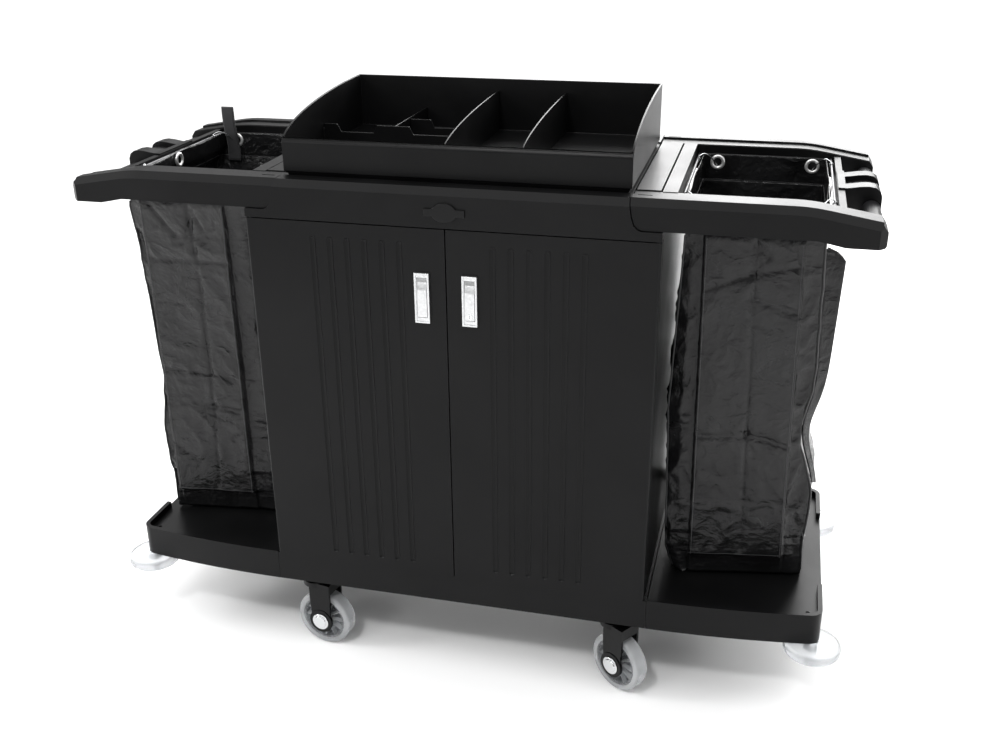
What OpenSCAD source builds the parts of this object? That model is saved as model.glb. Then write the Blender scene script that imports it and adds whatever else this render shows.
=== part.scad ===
// Housekeeping cart: a black moulded cabinet on a winged base, with two hinged doors, a divided
// amenity tray on top, a linen bag hung in a handle frame at each end, four swivel casters and
// four bumper wheels. X runs along the cart, the doors face -Y, and the floor is Z = 0.

/* [Overall] */
// Number of sides used to draw full circles
$fn = 64; // [48:8:96]

/* [Base] */
// Underside of the skirt above the floor
skirt_bottom = 170; // [168:1:176]
// Top of the base, which the cabinet stands on
base_top = 234; // [230:1:236]
// Half depth of the base at the middle
base_half_depth = 279; // [276:1:281]
// Where the side decks meet the centre beam
seam_x = 390; // [388:1:394]
// Outer end of the side decks
deck_end = 725; // [715:1:735]
// Drop of the bowed deck edge at its outer end
deck_bow = 27; // [20:1:30]
// Radius of the outer deck corners
deck_corner_r = 25; // [20:1:30]
// Wall thickness of the moulded base
base_wall = 5; // [4:0.5:5]

/* [Cabinet] */
// Half width of the cabinet over its side panels
cabinet_half_w = 385; // [383:1:387]
// Distance of the door faces from the centre plane
door_face = 285; // [284:1:286]
// Thickness of the doors
door_t = 18; // [17:0.5:18]
// Underside of the fascia above the doors
fascia_bottom = 966; // [950:2:970]
// Thickness of the side and back panels
panel_t = 4; // [3:0.5:4]
// Height of the lower shelf
shelf_lower_z = 470; // [400:5:500]
// Height of the upper shelf
shelf_upper_z = 700; // [650:5:740]
// Number of vertical grooves in each door
groove_count = 6; // [3:1:6]
// Distance between the grooves
groove_pitch = 33.4; // [30:0.2:34]

/* [Top and handles] */
// Rise from the fascia's underside to the top deck
top_rise = 68; // [66:1:70]
// Inner end of the handle arms
arm_start = 325; // [320:1:330]
// Half depth of the handle frames
arm_half_depth = 281; // [279:1:282]
// Half depth of the bag openings
ring_half_depth = 204; // [200:1:206]
// Distance of the push grips from the centre
grip_x = 733; // [725:1:735]
// Height of the push grips
grip_z = 985; // [980:1:988]
// Diameter of the push grips
grip_d = 33; // [28:1:34]

/* [Tray] */
// Half width of the tray
tray_half_w = 324; // [300:1:324]
// Front of the tray, measured forward from the centre
tray_front = 233; // [220:1:236]
// Back of the tray, measured back from the centre
tray_back = 183; // [175:1:190]
// Height of the tray's front wall above the top deck
tray_front_h = 59; // [50:1:65]
// Height of the tray's back wall above the top deck
tray_back_h = 122; // [110:1:130]
// Wall thickness of the tray
tray_wall = 4; // [3:0.5:4]

/* [Bags] */
// Wall of the solid that stands for the bag's fabric
bag_wall = 3; // [2:0.5:4]
// Height of the bag's hem
bag_top = 1018; // [1014:1:1022]
// Underside of the bag
bag_bottom = 226; // [225:1:230]

/* [Casters] */
// Diameter of the caster wheels
wheel_d = 125; // [125:1:126]
// Width of the caster tyres
wheel_w = 32; // [28:1:32]
// Distance of the caster swivels from the centre along the cart
caster_x = 324; // [318:1:325]
// Distance of the caster swivels from the centre across the cart
caster_y = 238; // [230:1:240]
// Offset from the swivel axis to the axle
caster_trail = 18; // [14:1:22]
// Diameter of the bumper wheels
bumper_d = 110; // [100:1:110]
// Distance of the bumper wheels from the centre along the cart
bumper_x = 712; // [708:1:712]
// Distance of the bumper wheels from the centre across the cart
bumper_y = 240; // [236:1:240]

/* [Hidden] */
plastic = [0.13, 0.13, 0.14];
dark = [0.07, 0.07, 0.08];
steel = [0.75, 0.76, 0.78];
clear_grey = [0.82, 0.84, 0.86];
fabric_black = [0.09, 0.09, 0.1];

top_z = fascia_bottom + top_rise;
crown_z = top_z + 3;
chamfer_z = top_z - 9;
chamfer_y = 16;
arm_bottom = top_z - 51;
arm_wall = 4;
fascia_step = arm_bottom - 1;

rib_low = 190;
seam_gap = 0.5;

door_bottom = base_top + 4;
door_top = fascia_bottom - 2;
door_gap = 2;
door_back = door_face - door_t;
door_skin = 6;
groove_first_x = 87;
groove_r = 7.5;
groove_depth = 3;
groove_end = 18;
hinge_x = cabinet_half_w - 7;
hinge_y = -273;
pin_r = 3.5;
pin_bore_r = 3.55;
pin_socket = 24;
pin_low = 208;

panel_front = 262;
panel_back = 272;
post_w = 20;
post_wall = 2;
shelf_t = 4;
shelf_lip = 16;

latch_x = 45;
latch_w = 28;
latch_low = 786;
latch_high = 882;
latch_proud = 6.5;
lever_w = 18;
lever_low = 797;
lever_high = 872;
lever_pivot_z = 848;
lever_pivot_y = -(door_face + 1);
lever_t = 4;
bolt_z = 834;
bolt_tip_x = 6;
bolt_front = 1 - panel_front;
bolt_t = 7;
latch_rear = 12 - panel_front;
lock_z = 805;

grip_r = grip_d / 2;
rail_x = 672;
rail_t = 12;
rail_top = 1020;
beam_x = 374;
ring_x = 400;
bend_x = 598;
bend_r = 325;
corner_cut = 15;
slope_angle = 9.5;
arm_end = 749;
saddle_half = 62;
saddle_recess = 28;
saddle_top = 1026;

tray_floor = 16;
divider_xs = [-15, 128];
lengthwise_x = -173;
cross_front_y = -36;
cross_rear_y = 62;
divider_t = 3;
divider_back_h = tray_back_h - 24;
slot_gap = 0.5;

bag_inner_x = 412;
bag_outer_x = 660;
bag_half_y = 196;
bag_foot_inner_x = 432;
bag_foot_outer_x = 688;
bag_foot_half_y = 145;
bag_band = 60;
grommet_z = 1003;
grommet_r = 15.5;
grommet_hole_r = 8;
rod_r = 2.5;
rod_z = 1014;
rod_xs = [406, 666];

plate_z = skirt_bottom + 2;
plate_t = 3.5;
race_bottom = 159;
crown_top = 158;
crown_bottom = 146;
kingpin_r = 6;
kingpin_bore_r = 6.05;
axle_r = 6;
axle_bore_r = 6.05;
fork_gap = 42;
fork_leg = 5;
rim_r = 50;
hub_r = 15;
hub_w = 40;
boss_r = 27;
cap_r = 19;
plate_hole_x = 42;
plate_hole_y = 23;
plate_bolt_r = 4;

bumper_low = 144;
bumper_high = 166;
bumper_bolt_r = 6;
bumper_bore_r = 6.05;

// Swivel places and the way each caster trails at rest, in degrees about Z
casters = [
    ["fl", -1, -1, -9],
    ["fr", 1, -1, -34],
    ["rl", -1, 1, 146],
    ["rr", 1, 1, 12]
];

// ---- helpers -------------------------------------------------------------------------------

// A box between two corners
module span(low, high) {
    translate(low) cube([high[0] - low[0], high[1] - low[1], high[2] - low[2]]);
}

// Draws its children on the right, or mirrored on the left
module on_side(side) {
    if (side > 0) children();
    if (side < 0) mirror([1, 0, 0]) children();
}

// A front-view outline in X and Z, extruded from y0 back to y1
module extrude_y(y0, y1) {
    translate([0, y1, 0]) rotate([90, 0, 0]) linear_extrude(y1 - y0) children();
}

// A side-view outline in Y and Z, extruded from x0 to x1
module extrude_x(x0, x1) {
    translate([x0, 0, 0]) rotate([90, 0, 90]) linear_extrude(x1 - x0) children();
}

// ---- base ----------------------------------------------------------------------------------

// Plan of one deck, drawn inset from its edge; the long edges are arcs of one large circle
module deck_plan(inset) {
    inner_x = seam_x + seam_gap / 2;
    run = deck_end - seam_x;
    bow_r = (run * run + deck_bow * deck_bow) / (2 * deck_bow);
    arc_centre_y = bow_r - base_half_depth;
    corner_x = deck_end - deck_corner_r;
    reach = bow_r - deck_corner_r;
    corner_y = sqrt(reach * reach - pow(corner_x - seam_x, 2)) - arc_centre_y;
    slope_x_step = deck_corner_r * (corner_x - seam_x) / reach;
    union() {
        intersection() {
            translate([inner_x + inset, -base_half_depth])
                square([corner_x + slope_x_step - inner_x - inset, 2 * base_half_depth]);
            translate([seam_x, arc_centre_y]) circle(r = bow_r - inset, $fn = 720);
            translate([seam_x, -arc_centre_y]) circle(r = bow_r - inset, $fn = 720);
        }
        translate([inner_x + inset, -corner_y]) square([deck_end - inner_x - 2 * inset, 2 * corner_y]);
        for (s = [-1, 1]) translate([corner_x, s * corner_y]) circle(r = deck_corner_r - inset);
    }
}

// Deck: a hollow tray with a raised rim, ribs beneath, and a boss for each bumper wheel
module deck() {
    rim_top = base_top + 2;
    floor_top = base_top - 12;
    floor_under = floor_top - base_wall;
    rim_w = 9;
    low_half = 142;
    color(plastic) difference() {
        union() {
            difference() {
                translate([0, 0, skirt_bottom]) linear_extrude(rim_top - skirt_bottom) deck_plan(0);
                translate([0, 0, skirt_bottom - 1]) linear_extrude(floor_under - skirt_bottom + 1)
                    deck_plan(base_wall);
                translate([0, 0, floor_top]) linear_extrude(30) intersection() {
                    deck_plan(rim_w);
                    translate([seam_x, -300]) square([400, 600]);
                }
                span([seam_x - 1, -base_half_depth + rim_w, floor_top],
                     [seam_x + 2 * rim_w, base_half_depth - rim_w, rim_top + 1]);
                span([deck_end - rim_w - 1, -low_half, floor_top], [deck_end + 1, low_half, rim_top + 1]);
            }
            for (x = [470, 560, 650])
                span([x, -base_half_depth + 30, rib_low],
                     [x + base_wall, base_half_depth - 30, floor_under + 1]);
            for (y = [-140, 0, 140])
                span([seam_x + 3, y, rib_low], [deck_end - 3, y + base_wall, floor_under + 1]);
            for (s = [-1, 1]) translate([bumper_x - 8, s * (bumper_y - 8), skirt_bottom])
                cylinder(r = 17, h = floor_under - skirt_bottom + 1);
        }
        for (s = [-1, 1]) translate([bumper_x, s * bumper_y, skirt_bottom - 1])
            cylinder(r = bumper_bolt_r + 0.2, h = 44);
        for (s = [-1, 1]) translate([698, s * 226, floor_top - 2]) cylinder(r = 4, h = 5);
    }
}

// Centre beam of the base: top plate, skirts, ribs and pads for the casters
module base_beam() {
    x = seam_x - seam_gap / 2;
    plate_under = base_top - base_wall;
    color(plastic) difference() {
        union() {
            difference() {
                span([-x, -base_half_depth, skirt_bottom], [x, base_half_depth, base_top]);
                span([-x + base_wall, -base_half_depth + base_wall, skirt_bottom - 1],
                     [x - base_wall, base_half_depth - base_wall, plate_under]);
            }
            for (y = [-100, 0, 100])
                span([-x + 3, y, rib_low], [x - 3, y + base_wall, plate_under + 1]);
            for (rib = [-200, -100, 0, 100, 200])
                span([rib, -base_half_depth + 3, rib_low],
                     [rib + base_wall, base_half_depth - 3, plate_under + 1]);
            for (sx = [-1, 1], sy = [-1, 1])
                span([sx * caster_x - 60, sy * (caster_y + 1) - 35, plate_z],
                     [sx * caster_x + 60, sy * (caster_y + 1) + 35, plate_under + 1]);
            for (sx = [-1, 1])
                span([sx * hinge_x - 9, -base_half_depth + 3, 204],
                     [sx * hinge_x + 9, -base_half_depth + 20, plate_under + 1]);
        }
        for (sx = [-1, 1], sy = [-1, 1], bx = [-1, 1], by = [-1, 1])
            translate([sx * caster_x + bx * plate_hole_x, sy * caster_y + by * plate_hole_y, plate_z - 1])
                cylinder(r = plate_bolt_r + 0.2, h = 36);
        for (sx = [-1, 1]) translate([sx * hinge_x, hinge_y, pin_low]) cylinder(r = pin_r + 0.05, h = 40);
    }
}

// ---- cabinet -------------------------------------------------------------------------------

// Square tubes at the four corners, and a centre post that both latch bolts enter
module cabinet_posts() {
    height = fascia_bottom - base_top;
    inner = cabinet_half_w - panel_t - post_w;
    color(dark) {
        for (sx = [-1, 1], low_y = [-panel_front, panel_back - panel_t - post_w])
            translate([sx > 0 ? inner : -inner - post_w, low_y, base_top]) difference() {
                cube([post_w, post_w, height]);
                translate([post_wall, post_wall, -1])
                    cube([post_w - 2 * post_wall, post_w - 2 * post_wall, height + 2]);
            }
        difference() {
            span([-12, -panel_front, base_top], [12, -panel_front + post_w, fascia_bottom]);
            span([-10, -panel_front + post_wall, base_top - 1],
                 [10, -panel_front + post_w - post_wall, fascia_bottom + 1]);
            span([-13, -panel_front - 1, bolt_z - 12], [13, -panel_front + 14, bolt_z + 12]);
        }
    }
}

// Side panel with its moulded shelf ledges
module side_panel() {
    x = cabinet_half_w;
    color(plastic) {
        span([x - panel_t, -panel_front, base_top], [x, panel_back, fascia_bottom]);
        for (z = [shelf_lower_z, shelf_upper_z])
            span([x - panel_t - 12, -panel_front + post_w + 4, z - 10],
                 [x - panel_t, panel_back - panel_t - post_w - 4, z]);
    }
}

// Back panel with shallow vertical stiffening grooves
module back_panel() {
    x = cabinet_half_w - panel_t;
    color(plastic) difference() {
        span([-x, panel_back - panel_t, base_top], [x, panel_back, fascia_bottom]);
        for (i = [-5 : 5])
            span([i * 60 - 5, panel_back - 1.5, base_top + 40],
                 [i * 60 + 5, panel_back + 1, fascia_bottom - 40]);
    }
}

// Shelf: a plate with a lip turned down all round
module shelf(z) {
    x = cabinet_half_w - panel_t - 13;
    y0 = -panel_front + post_w + 2;
    y1 = panel_back - panel_t - post_w - 2;
    ledge = 12;
    color(plastic) {
        span([-x - ledge, y0 + 2, z], [x + ledge, y1 - 2, z + shelf_t]);
        difference() {
            span([-x, y0, z - shelf_lip], [x, y1, z + shelf_t - 1]);
            span([-x + 3, y0 + 3, z - shelf_lip - 1], [x - 3, y1 - 3, z + 1]);
        }
    }
}

// ---- top frame -----------------------------------------------------------------------------

// Front view of the fascia: wide at the cabinet, drawn in to the handle arms above
module fascia_outline(shift) {
    w = arm_start - shift;
    curve_r = 16;
    difference() {
        polygon([
            [-cabinet_half_w, fascia_bottom], [cabinet_half_w, fascia_bottom],
            [cabinet_half_w, fascia_step], [w + 26, fascia_step],
            [w + 10, fascia_step + 9], [w + 5, fascia_step + 24], [w, crown_z],
            [-w, crown_z], [-w - 5, fascia_step + 24], [-w - 10, fascia_step + 9],
            [-w - 26, fascia_step], [-cabinet_half_w, fascia_step]
        ]);
        for (s = [-1, 1]) translate([s * (w + 26), fascia_step + curve_r]) circle(r = curve_r);
    }
}

// Side view of the fascia and top deck, with a bevel along the front and the back
module top_profile() {
    front = -door_face;
    back = arm_half_depth;
    polygon([
        [front, fascia_bottom], [back, fascia_bottom], [back, chamfer_z],
        [back - chamfer_y, crown_z], [tray_back + 6, crown_z], [tray_back + 3, top_z],
        [-tray_front - 3, top_z], [-tray_front - 6, crown_z],
        [front + chamfer_y, crown_z], [front, chamfer_z]
    ]);
}

module top_frame() {
    color(plastic) difference() {
        intersection() {
            extrude_y(-door_face, arm_half_depth) fascia_outline(0);
            extrude_x(-cabinet_half_w, cabinet_half_w) top_profile();
        }
        span([-arm_start + 5, -door_face + 23, fascia_bottom - 1],
             [arm_start - 5, arm_half_depth - 5, top_z - 5]);
        span([-arm_start + 5, -door_face + 5, fascia_bottom + 14],
             [arm_start - 5, arm_half_depth - 5, top_z - 9]);
        // the sides stand back to make room for the cover strips
        for (side = [-1, 1]) on_side(side)
            span([arm_start, -ring_half_depth - 0.5, fascia_step],
                 [seam_x, ring_half_depth + 0.5, crown_z + 1]);
        for (sx = [-1, 1])
            translate([sx * hinge_x, hinge_y, fascia_bottom - 1]) cylinder(r = pin_r + 0.05, h = 12);
    }
}

// Box-shaped covers that fill the top between the tray's deck and the handle frames
module cover_strips() {
    y = ring_half_depth - 1;
    wall = 4;
    color(plastic) for (side = [-1, 1]) on_side(side) difference() {
        union() {
            span([arm_start + 3, -y, fascia_step], [beam_x - 3, y, top_z + 1]);
            span([arm_start + 1, -y + 2, fascia_step], [beam_x - 1, y - 2, top_z - 8]);
        }
        span([arm_start + 3 + wall, -y + wall + 2, fascia_step - 1],
             [beam_x - 3 - wall, y - wall - 2, top_z + 1 - wall]);
    }
}

// Plain oval badge with a bar through it
module badge() {
    z = fascia_bottom + 29;
    points = 48;
    color(dark) extrude_y(-door_face - 3.5, -door_face) {
        translate([0, z])
            polygon([for (i = [1 : points]) [24 * cos(i * 360 / points), 18 * sin(i * 360 / points)]]);
        translate([-38, z - 7]) square([76, 14]);
    }
}

// ---- handle frames -------------------------------------------------------------------------

// Section of a handle arm in Y and Z, for the front arm; the groove line follows the ring
module arm_section(inset) {
    y0 = -arm_half_depth + inset;
    y1 = -ring_half_depth - inset;
    polygon([
        [y0, arm_bottom - inset * 2], [y1, arm_bottom - inset * 2], [y1, top_z - 3 - inset],
        [y1 - 2, top_z - 1 - inset], [-239, top_z - 1 - inset], [-240, top_z - 3 - inset],
        [-242, top_z - 3 - inset], [-243, crown_z - inset],
        [-arm_half_depth + chamfer_y - 1, crown_z - inset], [y0, chamfer_z - inset * 0.6]
    ]);
}

// Straight run of the arm, an arc, and the end that falls to the grip
module arm_solid(inset) {
    centre_z = crown_z - bend_r;
    under = arm_bottom - inset * 3;
    intersection() {
        extrude_x(arm_start, bend_x) arm_section(inset);
        extrude_y(-300, -190) polygon([
            [arm_start + 1 + inset, crown_z + 1], [arm_start + 6 + inset, fascia_step + 24.5],
            [arm_start + 11 + inset, fascia_step + 9.5], [arm_start + 18 + inset, fascia_step + 3],
            [arm_start + 28 + inset, fascia_step + 0.5 - inset * 3],
            [bend_x + 1, fascia_step + 0.5 - inset * 3], [bend_x + 1, crown_z + 1]
        ]);
    }
    intersection() {
        translate([bend_x, 0, centre_z]) union() {
            rotate([90, 0, 0]) rotate([0, 0, 90 - slope_angle]) rotate_extrude(angle = slope_angle, $fn = 256)
                translate([-centre_z, 0]) rotate(-90) arm_section(inset);
            rotate([0, slope_angle, 0]) translate([0, 0, -centre_z]) extrude_x(0, 130) arm_section(inset);
        }
        extrude_y(-300, -190) polygon([
            [bend_x - 1, under + 0.5], [640, under + 0.5], [684, under - 8.5],
            [arm_end - 3 - inset, under - 8.5],
            [arm_end - inset, under - 4.5], [arm_end - inset, 1001 - inset],
            [arm_end - 9 - inset, 1014 - inset], [arm_end - 9 - inset, 1060], [bend_x - 1, 1060]
        ]);
        // the outer front corner is cut off at 45 degrees
        translate([0, 0, 800]) linear_extrude(400) polygon([
            [bend_x - 2, -180], [bend_x - 2, -310], [arm_end - 42 - inset, -310],
            [arm_end + 2 - inset * 0.6, -arm_half_depth + corner_cut + inset * 0.6], [arm_end + 2, -180]
        ]);
    }
}

module arm() {
    rib_half = 2;
    difference() {
        arm_solid(0);
        arm_solid(arm_wall);
        // tie-down slot
        span([336, -249, top_z - 20], [361, -245, top_z + 10]);
    }
    // stiffening rib across the hollow where the bend begins
    intersection() {
        extrude_x(bend_x - rib_half, bend_x + rib_half) arm_section(arm_wall / 2);
        span([bend_x - 10, -300, arm_bottom + 1], [bend_x + 10, -190, crown_z]);
    }
}

// One moulded ring: two arms, the beam beside the cabinet, and the rail inside the grip
module handle_frame() {
    color(plastic) difference() {
        union() {
            arm();
            mirror([0, 1, 0]) arm();
            difference() {
                span([beam_x, -ring_half_depth - 2, arm_bottom], [ring_x, ring_half_depth + 2, top_z]);
                span([beam_x + arm_wall, -ring_half_depth + 4, arm_bottom - 1],
                     [ring_x - arm_wall, ring_half_depth - 4, top_z - arm_wall]);
            }
            span([rail_x, -ring_half_depth - 2, rail_top - 32],
                 [rail_x + rail_t, ring_half_depth + 2, rail_top]);
            for (s = [-1, 1]) translate([grip_x, s * (ring_half_depth + 12), grip_z])
                rotate([90, 0, 0]) cylinder(r = grip_r - 6, h = 24, center = true);
        }
        for (x = rod_xs, s = [-1, 1]) translate([x, s * ring_half_depth, rod_z])
            rotate([90, 0, 0]) cylinder(r = rod_r + 0.1, h = 12, center = true, $fn = 24);
    }
}

// Push grip: a round bar between the arm ends
module grip() {
    half = ring_half_depth - 0.2;
    color(plastic) translate([grip_x, 0, grip_z]) rotate([90, 0, 0])
        cylinder(r = grip_r, h = 2 * half, center = true);
}

// Saddle from the rail over the grip, with two ribs that keep a tool handle from sliding
module saddle_profile(drop) {
    difference() {
        polygon([
            [rail_x + rail_t, rail_top - 24], [rail_x + rail_t, rail_top - 1 - drop],
            [rail_x + rail_t + 2, rail_top + 1 - drop], [700, rail_top + 3 - drop],
            [712, saddle_top - 1 - drop], [726, saddle_top - drop], [738, saddle_top - 2 - drop],
            [746, saddle_top - 8 - drop * 0.7], [750, saddle_top - 18 - drop * 0.4],
            [750.5, grip_z - 2], [746, grip_z - 2], [712, grip_z + 6], [700, rail_top - 16]
        ]);
        translate([grip_x, grip_z]) circle(r = grip_r + 0.1);
    }
}

module tool_holder() {
    color(plastic) {
        extrude_y(-saddle_half, -saddle_recess) saddle_profile(0);
        extrude_y(saddle_recess, saddle_half) saddle_profile(0);
        extrude_y(-saddle_recess, saddle_recess) saddle_profile(9);
        // side flanges that reach down between the rail and the grip
        for (y = [-saddle_half, saddle_half - 4])
            extrude_y(y, y + 4) difference() {
                polygon([
                    [rail_x + rail_t, rail_top - 8], [rail_x + rail_t, 978], [rail_x + rail_t + 5, 972],
                    [grip_x - 14, 972], [grip_x, grip_z], [grip_x, grip_z + 30]
                ]);
                translate([grip_x, grip_z]) circle(r = grip_r + 0.1);
            }
        span([rail_x + 1, -saddle_half - 6, rail_top], [rail_x + rail_t + 2, saddle_half + 6, rail_top + 3]);
        span([rail_x + rail_t, -saddle_half - 6, rail_top - 10],
             [rail_x + rail_t + 2, saddle_half + 6, rail_top + 3]);
    }
}

// ---- bags ----------------------------------------------------------------------------------

// Steel rods that carry the bag hooks along both sides of each opening
module bag_rods() {
    color(steel) for (side = [-1, 1]) on_side(side) for (x = rod_xs)
        translate([x, 0, rod_z]) rotate([90, 0, 0])
            cylinder(r = rod_r, h = 2 * ring_half_depth + 8, center = true, $fn = 24);
}

// Outer form of a bag, or its cavity when drawn inset
module bag_form(inset, low, high) {
    band = bag_top - bag_band;
    span([bag_inner_x + inset, -bag_half_y + inset, band],
         [bag_outer_x - inset, bag_half_y - inset, high]);
    hull() {
        span([bag_inner_x + inset, -bag_half_y + inset, band],
             [bag_outer_x - inset, bag_half_y - inset, band + 1]);
        span([bag_foot_inner_x + inset, -bag_foot_half_y + inset, low],
             [bag_foot_outer_x - inset, bag_foot_half_y - inset, low + 1]);
    }
}

module bag() {
    color(fabric_black) difference() {
        bag_form(0, bag_bottom, bag_top);
        bag_form(bag_wall, bag_bottom + bag_wall, bag_top + 1);
        for (x = grommet_xs()) translate([x, 0, grommet_z]) rotate([90, 0, 0])
            cylinder(r = grommet_hole_r, h = 2 * bag_half_y + 2, center = true);
    }
}

function grommet_xs() = [bag_inner_x + 31, bag_outer_x - 29];

// Eyelets set in the hem of the front and the back wall
module grommets() {
    color(steel) for (side = [-1, 1]) on_side(side) for (x = grommet_xs(), s = [-1, 1])
        translate([x, s * (bag_half_y - bag_wall - 1), grommet_z]) rotate([90, 0, 0]) difference() {
            cylinder(r = grommet_r, h = 2, center = true);
            cylinder(r = grommet_hole_r, h = 3, center = true);
        }
}

// Hooks from the eyelets to the rods: an eye round the rod and a flat bent shank
module bag_hooks() {
    shank = 2.4;
    eye_r = 5.6;
    color(steel) for (side = [-1, 1]) on_side(side) for (end = [0, 1], s = [-1, 1]) {
        rod = [rod_xs[end], s * 150, rod_z];
        across = grommet_xs()[end] - rod[0];
        along = s * (bag_half_y - bag_wall - 5) - rod[1];
        reach = norm([across, along]);
        translate(rod) {
            rotate([90, 0, 0]) difference() {
                cylinder(r = eye_r, h = 3, center = true);
                cylinder(r = eye_r - 2.4, h = 5, center = true);
            }
            rotate([0, 0, atan2(along, across)]) rotate([90, 0, 0]) linear_extrude(shank, center = true)
                polygon([
                    [-1.2, 3.8], [-1.2, 6.2], [15, 12.4], [18.5, 12.2],
                    [reach, -4.6], [reach - 1, -6.9], [17.3, 9.9], [1.2, 3.8]
                ]);
        }
    }
}

// Webbing carry loop standing up at the far corner of the left bag
module bag_strap() {
    strap_t = 2.5;
    strap_w = 23;
    rise = 57;
    tail = 33;
    far_y = bag_half_y - bag_wall - 3;
    color(fabric_black) span([bag_wall - bag_outer_x, far_y - strap_t, bag_top - tail],
        [bag_wall - bag_outer_x + strap_w, far_y, bag_top + rise]);
}

// ---- tray ----------------------------------------------------------------------------------

// Side view of the tray: upright front, then a quarter ellipse up to the back
module tray_profile(low, back_h) {
    reach = tray_front + tray_back;
    rise = back_h - tray_front_h;
    steps = 36;
    polygon(concat(
        [[tray_back, low], [-tray_front, low]],
        [for (i = [0 : steps]) let (a = 90 * i / steps)
            [tray_back - reach * cos(a), top_z + tray_front_h + rise * sin(a)]]
    ));
}

module tray() {
    x = tray_half_w;
    floor_z = top_z + tray_floor;
    guide = 3;
    color(plastic) {
        difference() {
            extrude_x(-x, x) tray_profile(top_z + 8, tray_back_h);
            span([-x + tray_wall, -tray_front + tray_wall, floor_z],
                 [x - tray_wall, tray_back - tray_wall, floor_z + 300]);
            span([-x + 10, -tray_front + 10, top_z], [x - 10, tray_back - 10, floor_z - tray_wall]);
        }
        // stepped foot, open underneath
        difference() {
            union() {
                span([-x + 3, -tray_front + 3, top_z + 4], [x - 3, tray_back - 3, top_z + 9]);
                span([-x + 6, -tray_front + 6, top_z], [x - 6, tray_back - 6, top_z + 5]);
            }
            span([-x + 10, -tray_front + 10, top_z - 1], [x - 10, tray_back - 10, top_z + 10]);
        }
        // guides for the loose cross dividers
        for (y = [-1, 1]) {
            off = y > 0 ? divider_t / 2 + slot_gap : -divider_t / 2 - slot_gap - guide;
            span([-x + tray_wall - 1, cross_front_y + off, floor_z - 1],
                 [-x + tray_wall + 3, cross_front_y + off + guide, top_z + tray_front_h - 8]);
        }
    }
}

// Fixed partitions: two full-height curved ones, and one low lengthwise one in the left bay
module tray_dividers() {
    floor_z = top_z + tray_floor;
    inner_front = -tray_front + tray_wall;
    inner_back = tray_back - tray_wall;
    color(plastic) {
        for (x = divider_xs) intersection() {
            extrude_x(x - divider_t / 2, x + divider_t / 2) tray_profile(top_z, divider_back_h);
            span([x - 5, inner_front, floor_z], [x + 5, inner_back, top_z + tray_back_h]);
        }
        span([lengthwise_x - divider_t / 2, cross_front_y + divider_t / 2 + slot_gap, floor_z],
             [lengthwise_x + divider_t / 2, inner_back, top_z + 58]);
    }
}

// Loose divider across the left bay, with raised tabs between its cut-outs
module cross_divider_front() {
    low = top_z + tray_floor + 0.2;
    left = -tray_half_w + tray_wall + 0.5;
    right = divider_xs[0] - divider_t / 2 - 0.5;
    high = top_z + tray_front_h;
    notch = high - 15;
    color(plastic) extrude_y(cross_front_y - divider_t / 2, cross_front_y + divider_t / 2) polygon([
        [left, low], [right, low], [right, notch], [-134, notch], [-139, high - 5], [-142, high],
        [-209, high], [-212, high - 4], [-216, notch], [-284, notch], [-289, high - 5],
        [-292, high], [left, high]
    ]);
}

// Shorter loose divider behind it, from the lengthwise partition to the first full one
module cross_divider_rear() {
    low = top_z + tray_floor + 0.2;
    left = lengthwise_x + divider_t / 2 + 0.5;
    right = divider_xs[0] - divider_t / 2 - 0.5;
    high = top_z + 55;
    notch = high - 16;
    color(plastic) extrude_y(cross_rear_y - divider_t / 2, cross_rear_y + divider_t / 2) polygon([
        [left, low], [right, low], [right, notch], [-121, notch], [-126, high - 4], [-129, high],
        [left, high]
    ]);
}

// ---- doors and latches ---------------------------------------------------------------------

// Vertical groove with scooped ends
module groove(x) {
    y = -door_face - groove_r + groove_depth;
    low = door_bottom + groove_end + groove_r;
    high = door_top - groove_end - groove_r - 7;
    translate([x, y, low]) cylinder(r = groove_r, h = high - low);
    translate([x, y, low]) sphere(r = groove_r);
    translate([x, y, high]) sphere(r = groove_r);
}

// Right-hand door: a moulded leaf with a ribbed back, pin sockets and a latch cut-out
module door() {
    x0 = door_gap / 2;
    x1 = cabinet_half_w;
    frame_w = 22;
    color(plastic) difference() {
        union() {
            span([x0, -door_face, door_bottom], [x1, -door_face + door_skin, door_top]);
            difference() {
                span([x0, -door_face, door_bottom], [x1, -door_back, door_top]);
                span([x0 + 4, -door_face + door_skin, door_bottom + pin_socket + 6],
                     [x1 - frame_w, -door_back + 1, door_top - pin_socket - 6]);
            }
            for (z = [420, 600, 760])
                span([x0 + 3, -door_face + 3, z], [x1 - frame_w + 1, -door_back, z + 4]);
            span([latch_x - 20, -door_face + 3, latch_low - 6], [latch_x + 20, -door_back, latch_high + 6]);
        }
        for (i = [0 : groove_count - 1]) groove(groove_first_x + i * groove_pitch);
        span([latch_x - 11, -door_face - 1, latch_low + 5], [latch_x + 11, -door_back + 1, latch_high - 5]);
        for (z = [door_bottom - 1, door_top - pin_socket + 1])
            translate([hinge_x, hinge_y, z]) cylinder(r = pin_bore_r, h = pin_socket);
        // the outer front edge is eased so that it clears the side panel as the door swings
        difference() {
            span([x1 - 5, -door_face - 1, door_bottom - 1], [x1 + 1, -door_face + 5, door_top + 1]);
            translate([x1 - 5, -door_face + 5, door_bottom - 2])
                cylinder(r = 5, h = door_top - door_bottom + 4);
        }
    }
}

module hinge_pins() {
    color(steel) for (sx = [-1, 1]) {
        translate([sx * hinge_x, hinge_y, pin_low])
            cylinder(r = pin_r, h = door_bottom + pin_socket - 3 - pin_low);
        translate([sx * hinge_x, hinge_y, door_top - pin_socket + 3])
            cylinder(r = pin_r, h = pin_socket + 9);
    }
}

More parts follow.
